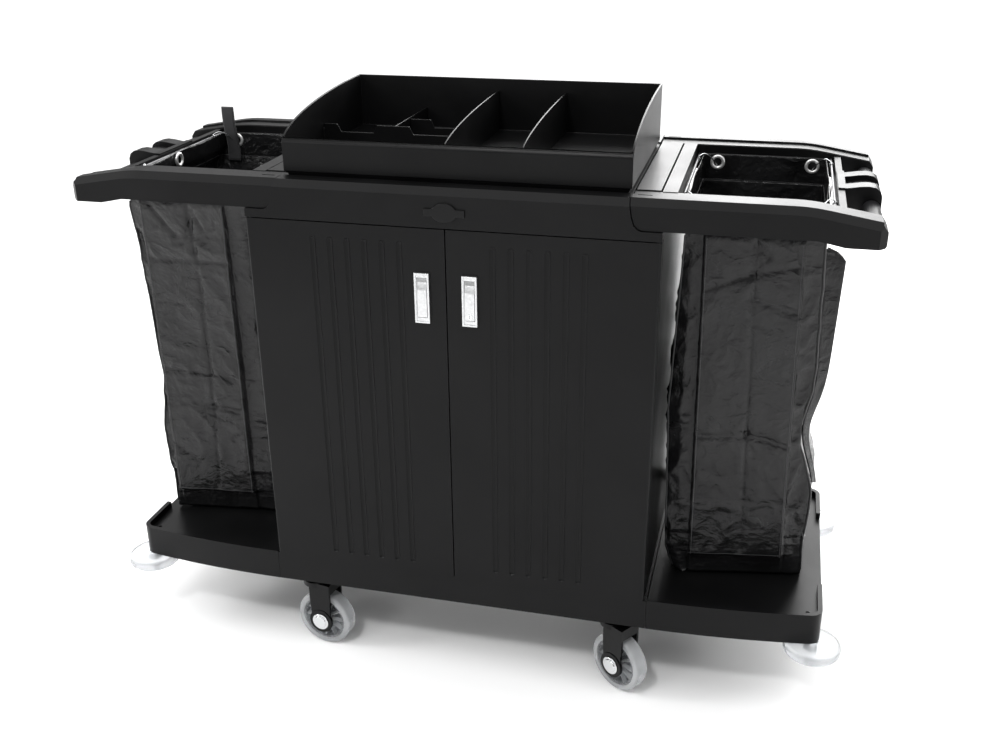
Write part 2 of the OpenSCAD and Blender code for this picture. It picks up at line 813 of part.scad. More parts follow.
// Latch housing: a raised frame on the door face and a box through the door behind it
module latch_body() {
    pocket = lever_w / 2 + 0.6;
    color(steel) difference() {
        union() {
            span([latch_x - latch_w / 2, -door_face - latch_proud, latch_low],
                 [latch_x + latch_w / 2, -door_face, latch_high]);
            span([latch_x - 10.8, -door_face, latch_low + 5.2],
                 [latch_x + 10.8, latch_rear, latch_high - 5.2]);
        }
        // sunk panel inside the raised border
        span([latch_x - latch_w / 2 + 3, -door_face - latch_proud - 1, latch_low + 3],
             [latch_x + latch_w / 2 - 3, -door_face - latch_proud + 2, latch_high - 3]);
        // pocket that the lever lies in
        span([latch_x - pocket, -door_face - latch_proud - 1, lever_low - 1],
             [latch_x + pocket, -door_face + 13, lever_high + 1]);
        // pivot pin hole and bolt slot
        translate([latch_x, lever_pivot_y, lever_pivot_z]) rotate([0, 90, 0])
            cylinder(r = 1.55, h = latch_w - 1, center = true, $fn = 24);
        span([latch_x - 12, bolt_front - 0.5, bolt_z - 6.5],
             [latch_x + 12, bolt_front + bolt_t + 0.5, bolt_z + 6.5]);
    }
}

// Paddle lever: thumb pad above its pivot, pull below it
module latch_lever(bored) {
    face = -door_face - latch_proud + 1;
    half = lever_w / 2;
    color(steel) difference() {
        union() {
            extrude_x(latch_x - half, latch_x + half) polygon([
                [face, lever_low], [face + lever_t, lever_low], [face + lever_t, lever_high],
                [face + 2.5, lever_high], [face + 0.5, lever_high - 7], [face + 0.5, lever_high - 8],
                [face + 2, lever_high - 8], [face + 2, lever_high - 11], [face + 1, lever_pivot_z + 3],
                [face, lever_pivot_z]
            ]);
            translate([latch_x, lever_pivot_y, lever_pivot_z]) rotate([0, 90, 0])
                cylinder(r = 3, h = lever_w, center = true, $fn = 32);
            translate([latch_x, lever_pivot_y, lever_pivot_z]) rotate([0, 90, 0])
                cylinder(r = 1.5, h = latch_w - 7, center = true, $fn = 24);
        }
        if (bored) translate([latch_x, 0, lock_z]) rotate([90, 0, 0])
            translate([0, 0, -face - lever_t - 3]) cylinder(r = 5.05, h = 20);
    }
}

// Spring bolt behind the latch, reaching into the centre post
module latch_bolt() {
    color(steel) span([bolt_tip_x, bolt_front, bolt_z - 6], [latch_x + 3, bolt_front + bolt_t, bolt_z + 6]);
}

// Key plug in the right-hand lever, with its slot and the cam drum behind the lever
module lock_cylinder() {
    face = -door_face - latch_proud + 1;
    drum_r = 7.5;
    color(steel) difference() {
        union() {
            translate([latch_x, face + 5, lock_z]) rotate([90, 0, 0]) cylinder(r = 5, h = 5.6);
            translate([latch_x, face + 14, lock_z]) rotate([90, 0, 0]) cylinder(r = drum_r, h = 9.2);
        }
        span([latch_x - 0.7, face - 1, lock_z - 3], [latch_x + 0.7, face + 3, lock_z + 3]);
    }
}

// ---- casters and bumpers -------------------------------------------------------------------

module at_caster(i) {
    c = casters[i];
    translate([c[1] * caster_x, c[2] * caster_y, 0]) rotate([0, 0, c[3]]) children();
}

// Top plates with the upper races and the kingpins
module caster_plates() {
    color(steel) for (i = [0 : 3]) translate([casters[i][1] * caster_x, casters[i][2] * caster_y, 0]) {
        difference() {
            span([-54, -34, plate_z - plate_t], [54, 34, plate_z]);
            for (bx = [-1, 1], by = [-1, 1])
                translate([bx * plate_hole_x, by * plate_hole_y, plate_z - plate_t - 1])
                    cylinder(r = plate_bolt_r + 0.2, h = plate_t + 2);
        }
        translate([0, 0, race_bottom]) cylinder(r = 26, h = plate_z - plate_t - race_bottom);
        translate([0, 0, crown_bottom - 8]) cylinder(r = kingpin_r, h = race_bottom - crown_bottom + 9);
        translate([0, 0, crown_bottom - 8.5]) cylinder(r = 9.5, h = 8, $fn = 6);
    }
}

// Bolts that hold the caster plates, and the shoulder bolts of the bumper wheels
module base_bolts() {
    color(steel) {
        for (sx = [-1, 1], sy = [-1, 1], bx = [-1, 1], by = [-1, 1])
            translate([sx * caster_x + bx * plate_hole_x, sy * caster_y + by * plate_hole_y, 0]) {
                translate([0, 0, plate_z - plate_t - 5]) cylinder(r = 6.5, h = 5, $fn = 6);
                translate([0, 0, plate_z - plate_t - 1]) cylinder(r = plate_bolt_r, h = 34);
            }
        for (sx = [-1, 1], sy = [-1, 1]) translate([sx * bumper_x, sy * bumper_y, 0]) {
            translate([0, 0, bumper_low - 8]) cylinder(r = 9, h = 6, $fn = 6);
            translate([0, 0, bumper_low - 2.5]) cylinder(r = 16, h = 2);
            translate([0, 0, bumper_low - 3]) cylinder(r = bumper_bolt_r, h = 68);
            translate([0, 0, bumper_high + 0.5]) cylinder(r = 12, h = skirt_bottom - bumper_high - 0.5);
        }
    }
}

// Fork: a crown over the kingpin, and two straight legs that end in round discs at the axle
module caster_fork() {
    axle_z = wheel_d / 2;
    half = fork_gap / 2;
    leg_half = 25;
    leg_taper_z = 118;
    boss_t = 2;
    color(dark) difference() {
        union() {
            translate([0, 0, crown_bottom]) cylinder(r = 30, h = crown_top - crown_bottom);
            span([caster_trail - leg_half, -half - fork_leg, crown_bottom],
                [caster_trail + leg_half, half + fork_leg, crown_top - 2]);
            // stiffening flange turned down at the front and the back of the crown
            for (x = [caster_trail - leg_half, caster_trail + leg_half - 4])
                span([x, -half - fork_leg, wheel_d + 6], [x + 4, half + fork_leg, crown_top - 3]);
            for (s = [-1, 1]) {
                leg_y = s > 0 ? half + fork_leg : -half;
                translate([0, leg_y, 0]) rotate([90, 0, 0]) linear_extrude(fork_leg) {
                    polygon([
                        [caster_trail - leg_half, crown_top - 2], [caster_trail + leg_half, crown_top - 2],
                        [caster_trail + leg_half, leg_taper_z], [caster_trail + 22, axle_z],
                        [caster_trail - 22, axle_z], [caster_trail - leg_half, leg_taper_z]
                    ]);
                    translate([caster_trail, axle_z]) circle(r = boss_r);
                }
                translate([caster_trail, s > 0 ? half + fork_leg + boss_t : -half - fork_leg, axle_z])
                    rotate([90, 0, 0]) cylinder(r = boss_r, h = boss_t);
            }
        }
        translate([0, 0, crown_bottom - 10]) cylinder(r = kingpin_bore_r, h = 30);
        translate([0, 0, crown_bottom - 20]) cylinder(r = 11, h = 20);
        translate([caster_trail, 0, axle_z]) rotate([90, 0, 0])
            cylinder(r = axle_r + 0.05, h = fork_gap + 4 * fork_leg, center = true);
    }
}

// Rim: a long hub, a thin web and the ring that the tyre grips
module caster_rim() {
    web_t = 4;
    ring_t = 5;
    color(clear_grey) translate([caster_trail, 0, wheel_d / 2]) rotate([90, 0, 0]) difference() {
        union() {
            cylinder(r = hub_r, h = hub_w, center = true);
            difference() {
                cylinder(r = rim_r, h = wheel_w - 4, center = true);
                cylinder(r = rim_r - ring_t, h = wheel_w, center = true);
            }
            cylinder(r = rim_r - ring_t + 1, h = web_t, center = true);
        }
        cylinder(r = axle_bore_r, h = hub_w + 2, center = true);
    }
}

// Tyre with rounded shoulders
module caster_tyre() {
    shoulder = 5;
    r = wheel_d / 2;
    w = wheel_w / 2;
    color(clear_grey) translate([caster_trail, 0, r]) rotate([90, 0, 0]) rotate_extrude($fn = 96) {
        translate([rim_r, -w + shoulder]) square([r - rim_r, 2 * (w - shoulder)]);
        translate([rim_r, -w]) square([r - rim_r - shoulder, 2 * w]);
        for (s = [-1, 1]) translate([r - shoulder, s * (w - shoulder)]) circle(r = shoulder, $fn = 32);
    }
}

// Axle bolt with a domed cap at each end
module caster_axle() {
    half = fork_gap / 2 + fork_leg + 2;
    cap_t = 2.5;
    color(steel) translate([caster_trail, 0, wheel_d / 2]) rotate([90, 0, 0]) {
        cylinder(r = axle_r, h = 2 * half, center = true);
        for (s = [-1, 1]) {
            translate([0, 0, s > 0 ? half : -half - cap_t]) cylinder(r = cap_r, h = cap_t);
            translate([0, 0, s > 0 ? half + cap_t : -half - 2 * cap_t]) cylinder(r = cap_r - 5, h = cap_t);
        }
    }
}

// Bumper wheel: a soft disc that turns flat under the deck corner
module bumper_wheel(sx, sy) {
    r = bumper_d / 2;
    edge = 8;
    color(clear_grey) translate([sx * bumper_x, sy * bumper_y, bumper_low]) rotate_extrude($fn = 96) {
        translate([bumper_bore_r, 0]) square([r - edge - bumper_bore_r, bumper_high - bumper_low]);
        translate([bumper_bore_r, edge]) square([r - bumper_bore_r, bumper_high - bumper_low - 2 * edge]);
        for (z = [edge, bumper_high - bumper_low - edge]) translate([r - edge, z]) circle(r = edge, $fn = 32);
    }
}

// ---- drawing -------------------------------------------------------------------------------

base_beam();
on_side(-1) deck();  // deck_left
on_side(1) deck();  // deck_right
cabinet_posts();
on_side(-1) side_panel();  // side_panel_left
on_side(1) side_panel();  // side_panel_right
back_panel();
shelf(shelf_lower_z);  // shelf_lower
shelf(shelf_upper_z);  // shelf_upper
top_frame();
cover_strips();
badge();
on_side(-1) handle_frame();  // handle_frame_left
on_side(1) handle_frame();  // handle_frame_right
on_side(-1) grip();  // grip_left
on_side(1) grip();  // grip_right
on_side(-1) tool_holder();  // tool_holder_left
on_side(1) tool_holder();  // tool_holder_right
bag_rods();
bag_hooks();
grommets();
on_side(-1) bag();  // bag_left
on_side(1) bag();  // bag_right
bag_strap();
tray();
tray_dividers();
cross_divider_front();
cross_divider_rear();
on_side(-1) door();  // door_left
on_side(1) door();  // door_right
hinge_pins();
on_side(-1) latch_body();  // latch_body_left
on_side(1) latch_body();  // latch_body_right
on_side(-1) latch_lever(false);  // latch_lever_left
on_side(1) latch_lever(true);  // latch_lever_right
on_side(-1) latch_bolt();  // latch_bolt_left
on_side(1) latch_bolt();  // latch_bolt_right
lock_cylinder();
caster_plates();
base_bolts();
at_caster(0) caster_fork();  // caster_fork_fl
at_caster(1) caster_fork();  // caster_fork_fr
at_caster(2) caster_fork();  // caster_fork_rl
at_caster(3) caster_fork();  // caster_fork_rr
at_caster(0) caster_rim();  // caster_rim_fl
at_caster(1) caster_rim();  // caster_rim_fr
at_caster(2) caster_rim();  // caster_rim_rl
at_caster(3) caster_rim();  // caster_rim_rr
at_caster(0) caster_tyre();  // caster_tyre_fl
at_caster(1) caster_tyre();  // caster_tyre_fr
at_caster(2) caster_tyre();  // caster_tyre_rl
at_caster(3) caster_tyre();  // caster_tyre_rr
at_caster(0) caster_axle();  // caster_axle_fl
at_caster(1) caster_axle();  // caster_axle_fr
at_caster(2) caster_axle();  // caster_axle_rl
at_caster(3) caster_axle();  // caster_axle_rr
bumper_wheel(-1, -1);  // bumper_wheel_fl
bumper_wheel(1, -1);  // bumper_wheel_fr
bumper_wheel(-1, 1);  // bumper_wheel_rl
bumper_wheel(1, 1);  // bumper_wheel_rr
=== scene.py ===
# A housekeeping cart: a black moulded cabinet on a winged base, with a divided tray on top, a
# coated linen bag hung at each end, and clear casters and bumper wheels.
import math

import bmesh
import bpy
from mathutils import Euler, Matrix, Vector, noise


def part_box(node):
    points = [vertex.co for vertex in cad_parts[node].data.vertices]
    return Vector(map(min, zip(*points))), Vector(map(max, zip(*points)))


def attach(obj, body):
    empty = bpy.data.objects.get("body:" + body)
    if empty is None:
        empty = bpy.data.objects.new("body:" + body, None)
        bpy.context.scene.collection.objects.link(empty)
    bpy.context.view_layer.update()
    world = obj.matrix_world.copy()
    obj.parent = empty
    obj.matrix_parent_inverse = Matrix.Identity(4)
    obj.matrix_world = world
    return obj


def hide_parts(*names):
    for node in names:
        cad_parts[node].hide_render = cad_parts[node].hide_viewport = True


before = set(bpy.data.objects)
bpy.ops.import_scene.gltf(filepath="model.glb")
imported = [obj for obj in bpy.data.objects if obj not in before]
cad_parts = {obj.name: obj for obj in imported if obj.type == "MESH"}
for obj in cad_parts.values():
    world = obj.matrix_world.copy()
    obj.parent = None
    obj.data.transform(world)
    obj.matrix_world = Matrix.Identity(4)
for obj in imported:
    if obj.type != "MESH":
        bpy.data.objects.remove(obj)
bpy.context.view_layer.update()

scene = bpy.context.scene

# ---- Camera -----------------------------------------------------------------------------------
# It stands at eye height to the right of the cart's middle and looks down along it.
eye = (0.56405, -2.12801, 1.5231)
tilt, roll, turn = math.radians(66.41), math.radians(0.445), math.radians(13.956)
lens = bpy.data.cameras.new("camera")
lens.sensor_width = 36.0
lens.lens = 40.335
camera = bpy.data.objects.new("camera", lens)
camera.matrix_world = Matrix.Translation(eye) @ Euler((tilt, roll, turn)).to_matrix().to_4x4()
scene.collection.objects.link(camera)
scene.camera = camera
scene.view_settings.view_transform = "Standard"

# ---- Floor and light ----------------------------------------------------------------------------
# A pale floor and a white room under one wide, high light. A large softbox behind the cart lights
# its top faces, and four small lamps pick out its edges.
room = bpy.data.worlds.new("grey_room")
room.use_nodes = True
backdrop = room.node_tree.nodes["Background"]
backdrop.inputs["Color"].default_value = (1.0, 1.0, 1.0, 1.0)
seen_directly = room.node_tree.nodes.new("ShaderNodeLightPath")
room_light = room.node_tree.nodes.new("ShaderNodeMapRange")
fill_strength, backdrop_strength = 0.25, 1.0
room_light.inputs["To Min"].default_value = fill_strength
room_light.inputs["To Max"].default_value = backdrop_strength
room.node_tree.links.new(seen_directly.outputs["Is Camera Ray"], room_light.inputs["Value"])
room.node_tree.links.new(room_light.outputs["Result"], backdrop.inputs["Strength"])
scene.world = room


def made_of(name, bm):
    """Puts a finished mesh into the scene as an object of this name."""
    mesh = bpy.data.meshes.new(name)
    bm.to_mesh(mesh)
    bm.free()
    piece = bpy.data.objects.new(name, mesh)
    scene.collection.objects.link(piece)
    return piece


bm = bmesh.new()
bmesh.ops.create_grid(bm, x_segments=1, y_segments=1, size=60.0)
floor = made_of("floor", bm)
floor_paint = bpy.data.materials.new("floor_paint")
floor_paint.use_nodes = True
floor_bsdf = floor_paint.node_tree.nodes["Principled BSDF"]
floor_bsdf.inputs["Base Color"].default_value = (0.95, 0.95, 0.95, 1.0)
floor_bsdf.inputs["Roughness"].default_value = 0.9
floor.data.materials.append(floor_paint)

sky = bpy.data.lights.new("high_light", "SUN")
sky.energy = 3.3
sky.angle = math.radians(120.0)
high_light = bpy.data.objects.new("high_light", sky)
high_light.rotation_euler = (math.radians(-14.0), math.radians(4.0), 0.0)
scene.collection.objects.link(high_light)


def soft_lamp(name, place, aim, size, power):
    """A square lamp of soft white light, turned towards a point."""
    lamp = bpy.data.lights.new(name, "AREA")
    lamp.shape = "SQUARE"
    lamp.size = size
    lamp.energy = power
    stand = bpy.data.objects.new(name, lamp)
    stand.location = place
    stand.rotation_euler = (Vector(aim) - Vector(place)).to_track_quat("-Z", "Y").to_euler()
    scene.collection.objects.link(stand)


soft_lamp("softbox_back", (0.3, 3.4, 2.6), (0.0, 0.0, 0.9), 3.0, 170.0)
soft_lamp("lamp_front", (-1.6, -2.9, 2.2), (0.0, 0.0, 0.6), 0.9, 14.0)
soft_lamp("glint_lamp", (-0.3, -2.3, 3.1), (0.3, -0.2, 0.7), 0.3, 34.0)
soft_lamp("lamp_left", (-2.7, -1.0, 1.5), (0.1, -0.28, 0.6), 0.7, 28.0)
soft_lamp("lamp_right", (3.0, -0.8, 1.9), (0.4, 0.0, 0.6), 1.0, 12.0)

# ---- Base -----------------------------------------------------------------------------------------
# The centre beam and the two side decks are injection-moulded black plastic with a fine satin
# grain; the decks are screwed to the beam, with a thin seam between.


def finish_named(name, **sockets):
    """A new material whose shader has these values on its own sockets."""
    paint = bpy.data.materials.new(name)
    paint.use_nodes = True
    shader = paint.node_tree.nodes["Principled BSDF"]
    for socket, value in sockets.items():
        shader.inputs[socket.replace("_", " ")].default_value = value
    return paint, paint.node_tree.nodes, paint.node_tree.links, shader


def grain(nodes, scale, detail=2.0, coords="Object", distortion=0.0):
    """A noise pattern that follows the object."""
    where = nodes.new("ShaderNodeTexCoord")
    pattern = nodes.new("ShaderNodeTexNoise")
    pattern.inputs["Scale"].default_value = scale
    pattern.inputs["Detail"].default_value = detail
    pattern.inputs["Distortion"].default_value = distortion
    nodes.id_data.links.new(where.outputs[coords], pattern.inputs["Vector"])
    return pattern


def spread(nodes, pattern, low, high, start=0.35, end=0.65):
    """Maps a pattern's middle values to a range of numbers."""
    spreader = nodes.new("ShaderNodeMapRange")
    spreader.inputs["From Min"].default_value = start
    spreader.inputs["From Max"].default_value = end
    spreader.inputs["To Min"].default_value = low
    spreader.inputs["To Max"].default_value = high
    nodes.id_data.links.new(pattern, spreader.inputs["Value"])
    return spreader.outputs["Result"]


def tint(nodes, pattern, dark, light, start=0.35, end=0.65):
    """Mixes two colours by a pattern."""
    ramp = nodes.new("ShaderNodeValToRGB")
    ramp.color_ramp.elements[0].position = start
    ramp.color_ramp.elements[1].position = end
    ramp.color_ramp.elements[0].color = (*dark, 1.0)
    ramp.color_ramp.elements[1].color = (*light, 1.0)
    nodes.id_data.links.new(pattern, ramp.inputs["Fac"])
    return ramp.outputs["Color"]


def relief(nodes, pattern, depth, under=None):
    """Raises or sinks the surface by a pattern, in metres, over another relief if one is given."""
    bump = nodes.new("ShaderNodeBump")
    bump.inputs["Distance"].default_value = depth
    nodes.id_data.links.new(pattern, bump.inputs["Height"])
    if under is not None:
        nodes.id_data.links.new(under, bump.inputs["Normal"])
    return bump.outputs["Normal"]


def moulded_plastic(name, dark, light, rough_low, rough_high, grain_depth):
    """Satin moulded plastic: a fine spark-eroded grain, and faint clouding from handling."""
    paint, nodes, links, shader = finish_named(name, Metallic=0.0, Specular_IOR_Level=0.14)
    clouds = grain(nodes, 5.0, 4.0, distortion=0.4)
    links.new(tint(nodes, clouds.outputs["Fac"], dark, light), shader.inputs["Base Color"])
    links.new(spread(nodes, clouds.outputs["Fac"], rough_low, rough_high), shader.inputs["Roughness"])
    fine = grain(nodes, 950.0, 2.0)
    links.new(relief(nodes, fine.outputs["Fac"], grain_depth), shader.inputs["Normal"])
    return paint


satin_black = moulded_plastic(
    "satin_black", (0.003, 0.003, 0.0032), (0.0048, 0.0048, 0.005), 0.30, 0.38, 0.00012)


def clean_copy(node, name):
    """A copy of a CAD node's mesh with its loose triangles joined and its flat faces made whole."""
    piece = bpy.data.objects.new(name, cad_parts[node].data.copy())
    piece.data.name = name
    scene.collection.objects.link(piece)
    bm = bmesh.new()
    bm.from_mesh(piece.data)
    bmesh.ops.remove_doubles(bm, verts=bm.verts, dist=1e-5)
    bmesh.ops.dissolve_limit(bm, angle_limit=math.radians(0.6), verts=bm.verts, edges=bm.edges)
    for face in bm.faces:
        face.smooth = True
    bm.to_mesh(piece.data)
    bm.free()
    return piece


def dress(piece, paint, body, slot, *nodes):
    """Gives a finished piece its material and the body it moves with, and hides the CAD nodes it stands for.
    """
    piece.data.materials.clear()
    piece.data.materials.append(paint)
    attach(piece, body)
    if nodes:
        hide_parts(*nodes)
    return piece


def soften_edges(piece, width, segments=2, sharper_than=32.0):
    """Rounds a piece's sharp edges as a mould leaves them."""
    rounding = piece.modifiers.new("soft_edges", "BEVEL")
    rounding.width = width
    rounding.segments = segments
    rounding.limit_method = "ANGLE"
    rounding.angle_limit = math.radians(sharper_than)
    shading = piece.modifiers.new("even_shading", "WEIGHTED_NORMAL")
    shading.keep_sharp = False
    return piece


def moulding(node, width, paint=satin_black, body="chassis", slot="black_plastic", segments=2):
    """A CAD node as a moulded piece with rounded edges."""
    piece = soften_edges(clean_copy(node, node + "_moulding"), width, segments)
    return dress(piece, paint, body, slot, node)


moulding("base_beam", 0.0015)
for side in ("left", "right"):
    moulding("deck_" + side, 0.0015)

# ---- Cabinet --------------------------------------------------------------------------------------
# Steel posts, powder-coated black, carry moulded side, back and shelf panels.
powder_coat, nodes, links, shader = finish_named(
    "powder_coat", Base_Color=(0.006, 0.006, 0.0065, 1.0), Specular_IOR_Level=0.3)
peel = grain(nodes, 420.0, 1.0)
links.new(relief(nodes, peel.outputs["Fac"], 0.0002), shader.inputs["Normal"])
links.new(spread(nodes, peel.outputs["Fac"], 0.34, 0.46), shader.inputs["Roughness"])
moulding("cabinet_posts", 0.0012, powder_coat, slot="dark_metal")
for node in ("side_panel_left", "side_panel_right", "back_panel", "shelf_lower", "shelf_upper"):
    moulding(node, 0.0009)

# ---- Top frame ------------------------------------------------------------------------------------
# The fascia and top deck are one moulding; two box covers fill the gaps to the handle frames.
moulding("top_frame", 0.0016)
moulding("cover_strips", 0.0012)

# ---- Badge ----------------------------------------------------------------------------------------
# A blank oval plate of polished black plastic, clipped to the fascia.
polished_black, nodes, links, shader = finish_named(
    "polished_black", Base_Color=(0.002, 0.002, 0.0022, 1.0), Roughness=0.12, Specular_IOR_Level=0.2)
orange_peel = grain(nodes, 130.0, 1.0)
links.new(relief(nodes, orange_peel.outputs["Fac"], 0.00012), shader.inputs["Normal"])
moulding("badge", 0.0012, polished_black, slot="black_gloss", segments=3)

# ---- Handle frames --------------------------------------------------------------------------------
# One moulded ring at each end with two arms, and a round push grip held between the arm ends.
grip_black = moulded_plastic("grip_black", (0.016, 0.016, 0.017), (0.024, 0.024, 0.025), 0.34, 0.42, 0.00008)
for side in ("left", "right"):
    moulding("handle_frame_" + side, 0.0014)
    moulding("grip_" + side, 0.001, grip_black)
    moulding("tool_holder_" + side, 0.0022, segments=3)

# ---- Tray -----------------------------------------------------------------------------------------
# The amenity tray is one open moulding with fixed partitions and two loose cross dividers.
moulding("tray", 0.0014, body="tray_unit")
moulding("tray_dividers", 0.001, body="tray_unit")
moulding("cross_divider_front", 0.001, body="front_divider")
moulding("cross_divider_rear", 0.001, body="rear_divider")

# ---- Doors ----------------------------------------------------------------------------------------
# Each door is a moulded leaf with six sunk flutes, and turns on steel pins at its outer edge.
for side in ("left", "right"):
    moulding("door_" + side, 0.0008, body=side + "_door")

# ---- Latches --------------------------------------------------------------------------------------
# Satin nickel die castings let into the doors, with a paddle lever, a spring bolt and a key plug.
satin_nickel, nodes, links, shader = finish_named("satin_nickel", Metallic=1.0, Roughness=0.3)
cast = grain(nodes, 260.0, 3.0)
cast_colour = tint(nodes, cast.outputs["Fac"], (0.56, 0.565, 0.57), (0.66, 0.665, 0.67))
links.new(cast_colour, shader.inputs["Base Color"])
links.new(relief(nodes, cast.outputs["Fac"], 0.00006), shader.inputs["Normal"])
bright_steel, nodes, links, shader = finish_named(
    "bright_steel", Metallic=1.0, Base_Color=(0.72, 0.73, 0.74, 1.0))
drawn = grain(nodes, 300.0, 2.0)
links.new(spread(nodes, drawn.outputs["Fac"], 0.12, 0.26), shader.inputs["Roughness"])
links.new(relief(nodes, drawn.outputs["Fac"], 0.00004), shader.inputs["Normal"])
for side in ("left", "right"):
    moulding("latch_body_" + side, 0.0007, satin_nickel, side + "_door", "latch_metal", 3)
    moulding("latch_lever_" + side, 0.0005, satin_nickel, side + "_lever", "latch_metal", 3)
    moulding("latch_bolt_" + side, 0.0006, bright_steel, side + "_bolt", "steel")
moulding("lock_cylinder", 0.0003, bright_steel, "key_plug", "steel")
moulding("hinge_pins", 0.0004, bright_steel, slot="steel")

# ---- Casters --------------------------------------------------------------------------------------
# Swivel casters: a black fork, a clear finned rim in a clear grey tyre, and a plated axle. A clear
# bumper wheel turns flat under each deck corner.
clear_tyre, nodes, links, shader = finish_named(
    "clear_tyre", Base_Color=(0.86, 0.875, 0.89, 1.0), Roughness=0.14, IOR=1.3, Transmission_Weight=0.72)
haze = grain(nodes, 60.0, 3.0)
links.new(relief(nodes, haze.outputs["Fac"], 0.0002), shader.inputs["Normal"])
clear_rim, nodes, links, shader = finish_named(
    "clear_rim", Base_Color=(0.5, 0.51, 0.53, 1.0), Roughness=0.1, IOR=1.4, Transmission_Weight=0.8)
ripple = grain(nodes, 90.0, 2.0)
links.new(relief(nodes, ripple.outputs["Fac"], 0.0001), shader.inputs["Normal"])
moulding("caster_plates", 0.0006, powder_coat, slot="dark_metal")
moulding("base_bolts", 0.0006, bright_steel, slot="steel")
for corner in ("fl", "fr", "rl", "rr"):
    moulding("caster_fork_" + corner, 0.0012, polished_black, "swivel_" + corner, "black_gloss")
    moulding("caster_axle_" + corner, 0.0012, bright_steel, "swivel_" + corner, "steel", 3)
    moulding("caster_rim_" + corner, 0.0012, clear_rim, "wheel_" + corner, "clear_rim")
    moulding("caster_tyre_" + corner, 0.0008, clear_tyre, "wheel_" + corner, "clear_tyre")
    moulding("bumper_wheel_" + corner, 0.0008, clear_tyre, "bumper_" + corner, "clear_tyre")

# ---- Rim fins -------------------------------------------------------------------------------------
# Thin moulded fins run from each hub to the rim's ring on both faces of the web.
rest_turns = {"fl": -9.0, "fr": -34.0, "rl": 146.0, "rr": 12.0}
fin_count, fin_t, fin_w, fin_out = 12, 0.0014, 0.0102, 0.007
hub_r, ring_r = 0.0150, 0.0455
for corner, rest_turn in rest_turns.items():
    low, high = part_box("caster_rim_" + corner)
    hub = (Vector(low) + Vector(high)) / 2
    facing = Matrix.Translation(hub) @ Matrix.Rotation(math.radians(rest_turn), 4, "Z")
    bm = bmesh.new()
    for i in range(fin_count):
        for face_side in (-1, 1):
            along = Matrix.Rotation(math.tau * i / fin_count, 4, "Y") @ Matrix.Translation(
                ((hub_r + ring_r) / 2, face_side * fin_out, 0.0))
            size = Matrix.Diagonal((ring_r - hub_r, fin_w, fin_t, 1.0))
            bmesh.ops.create_cube(bm, size=1.0, matrix=facing @ along @ size)
    dress(made_of("rim_fins_" + corner, bm), clear_tyre, "wheel_" + corner, "clear_rim")

# ---- Bags -----------------------------------------------------------------------------------------
# Linen bags of black vinyl-coated cloth. A stiff front panel is sewn between folded gussets and
# stops short of a tucked base band; the mouth has a turned hem, and a flap covers the end zip.
mouth_z, foot_z, hem_z, panel_foot_z = 1.0175, 0.2275, 0.962, 0.275
cloth_t, bag_girth = 0.0012, 1.28
pack_folds = (0.885, 0.733, 0.553, 0.405)
# Each pair is a measure at the hem and at the foot; fold lines are (start, end, depth, width).
bags = {
    "right": {
        "out": 1, "seed": 3.0, "inner": (0.413, 0.436), "outer": (0.659, 0.686),
        "panel": ((0.451, 0.459), (0.623, 0.642)),
        "front": ((-0.195, -0.155), (-0.195, -0.110)), "back": (0.195, 0.148),
        "ease": 1.0, "belly": 0.027, "dent": 0.020, "flare": 0.0, "flap": 0.031,
        "folds": (
            ((0.449, 0.852), (0.537, 0.889), 0.0050, 0.005), ((0.537, 0.889), (0.623, 0.910), 0.0035, 0.006),
            ((0.541, 0.948), (0.565, 0.922), 0.0050, 0.004), ((0.541, 0.940), (0.549, 0.905), 0.0040, 0.004),
            ((0.540, 0.842), (0.624, 0.818), 0.0040, 0.006), ((0.452, 0.548), (0.550, 0.560), 0.0030, 0.004),
            ((0.550, 0.560), (0.636, 0.535), 0.0050, 0.005), ((0.552, 0.556), (0.569, 0.512), 0.0030, 0.003),
            ((0.539, 0.958), (0.558, 0.290), 0.0042, 0.0035),
            ((0.600, 0.960), (0.624, 0.880), 0.0030, 0.004)),
    },
    "left": {
        "out": -1, "seed": 11.0, "inner": (0.413, 0.440), "outer": (0.664, 0.681),
        "panel": ((0.477, 0.514), (0.657, 0.686)),
        "front": ((-0.195, -0.112), (-0.195, -0.146)), "back": (0.195, 0.148),
        "ease": 3.0, "belly": 0.012, "dent": 0.004, "flare": 0.022, "flap": 0.022,
        "folds": (
            ((0.640, 0.955), (0.598, 0.888), 0.0048, 0.004), ((0.551, 0.930), (0.572, 0.888), 0.0055, 0.005),
            ((0.551, 0.948), (0.535, 0.905), 0.0040, 0.004), ((0.572, 0.838), (0.502, 0.915), 0.0030, 0.004),
            ((0.660, 0.832), (0.496, 0.829), 0.0035, 0.004), ((0.690, 0.580), (0.524, 0.560), 0.0035, 0.004),
            ((0.600, 0.486), (0.526, 0.478), 0.0060, 0.005), ((0.600, 0.470), (0.540, 0.452), 0.0040, 0.004),
            ((0.556, 0.960), (0.592, 0.290), 0.0045, 0.0035),
            ((0.690, 0.400), (0.630, 0.350), 0.0040, 0.006)),
    },
}


def crest(place):
    """A sharp-topped ripple between 0 and 1, as in crumpled cloth."""
    return (1.0 - min(1.0, 1.6 * abs(noise.noise(place)))) ** 2


def fold_depth(x, z, folds):
    """How far the fold lines sink a panel at a place."""
    sunk = 0.0
    for (x0, z0), (x1, z1), depth, width in folds:
        along = ((x - x0) * (x1 - x0) + (z - z0) * (z1 - z0)) / ((x1 - x0) ** 2 + (z1 - z0) ** 2)
        along = min(1.0, max(0.0, along))
        off = math.hypot(x - x0 - along * (x1 - x0), z - z0 - along * (z1 - z0))
        sunk += depth * math.exp(-off / width)
    return sunk


